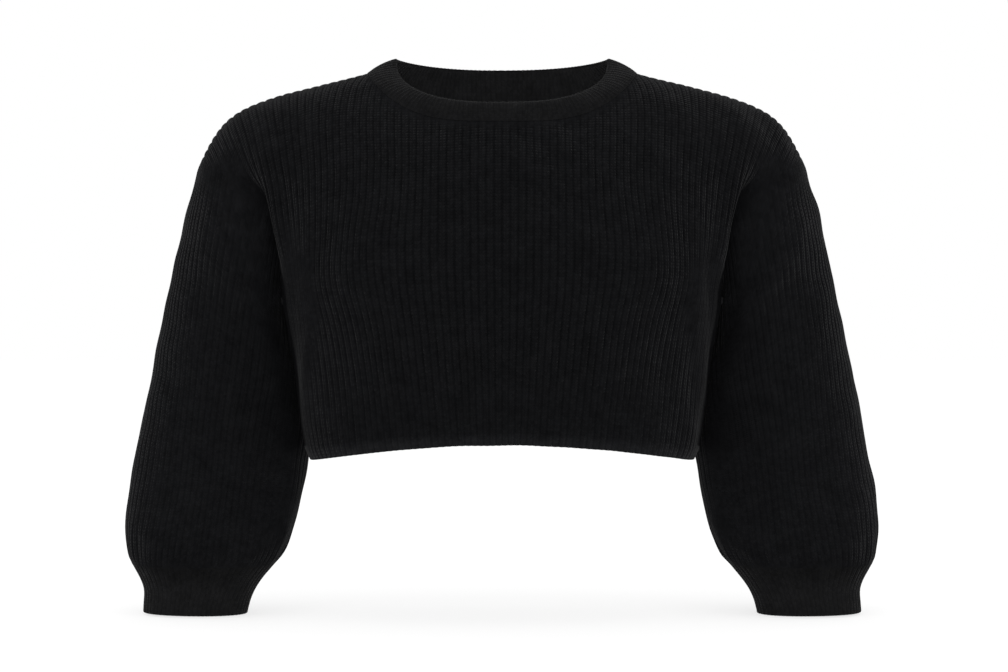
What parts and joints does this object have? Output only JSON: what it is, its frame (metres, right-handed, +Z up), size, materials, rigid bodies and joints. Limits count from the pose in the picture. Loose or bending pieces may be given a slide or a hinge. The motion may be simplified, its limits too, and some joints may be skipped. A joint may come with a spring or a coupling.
{
  "type": "cropped knit sweater",
  "caption": "Hollow cropped rib-knit sweater with a crew neckband, drop shoulders and full sleeves gathered into fine-rib cuffs, filled out as if worn, open at neck, hem and cuffs.",
  "frame": {"origin": "middle of the neck opening, 3 mm below the two neck points, where the shoulders carry the garment", "axes": "+Z up, the front faces -Y, the wearer's left arm is at +X"},
  "size_m": [0.7212, 0.2352, 0.5283],
  "materials": {
    "wide_rib_knit": "matte black half-cardigan style rib knit, soft yarn",
    "fine_rib_knit": "matte black fine rib knit, soft yarn"
  },
  "bodies": {
    "root": {"front": "wide_rib_knit", "back": "wide_rib_knit", "sleeve_left": "wide_rib_knit", "sleeve_right": "wide_rib_knit", "cuff_left": "fine_rib_knit", "cuff_right": "fine_rib_knit", "neckband": "fine_rib_knit"}
  },
  "joints": []
}
